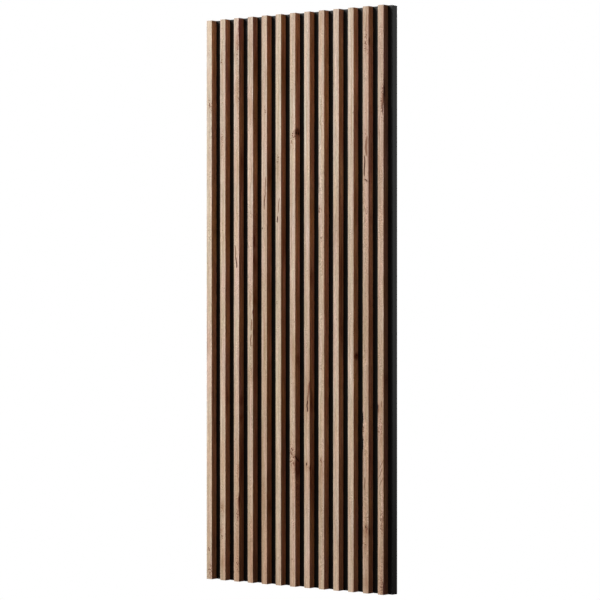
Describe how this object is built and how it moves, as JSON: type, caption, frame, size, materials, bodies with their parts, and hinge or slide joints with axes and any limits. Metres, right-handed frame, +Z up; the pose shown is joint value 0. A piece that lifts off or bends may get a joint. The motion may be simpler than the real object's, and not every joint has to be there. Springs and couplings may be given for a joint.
{
  "type": "slatted wall panel",
  "caption": "Flat wall panel of upright light oak slats, evenly spaced and square in section, on a black backing board, to fix flat against a wall.",
  "frame": {"origin": "middle of the backing board's back, the face that lies against the wall", "axes": "+Z up along the slats, +Y out of the back towards the wall, +X to the right seen from the front"},
  "size_m": [0.5, 0.031, 1.2],
  "materials": {
    "oak_slat": "light knotty oak, matt",
    "black_board": "black faced board, satin edges"
  },
  "bodies": {
    "root": {"backing_board": "black_board", "slat_01": "oak_slat", "slat_02": "oak_slat", "slat_03": "oak_slat", "slat_04": "oak_slat", "slat_05": "oak_slat", "slat_06": "oak_slat", "slat_07": "oak_slat", "slat_08": "oak_slat", "slat_09": "oak_slat", "slat_10": "oak_slat", "slat_11": "oak_slat", "slat_12": "oak_slat", "slat_13": "oak_slat"}
  },
  "joints": []
}
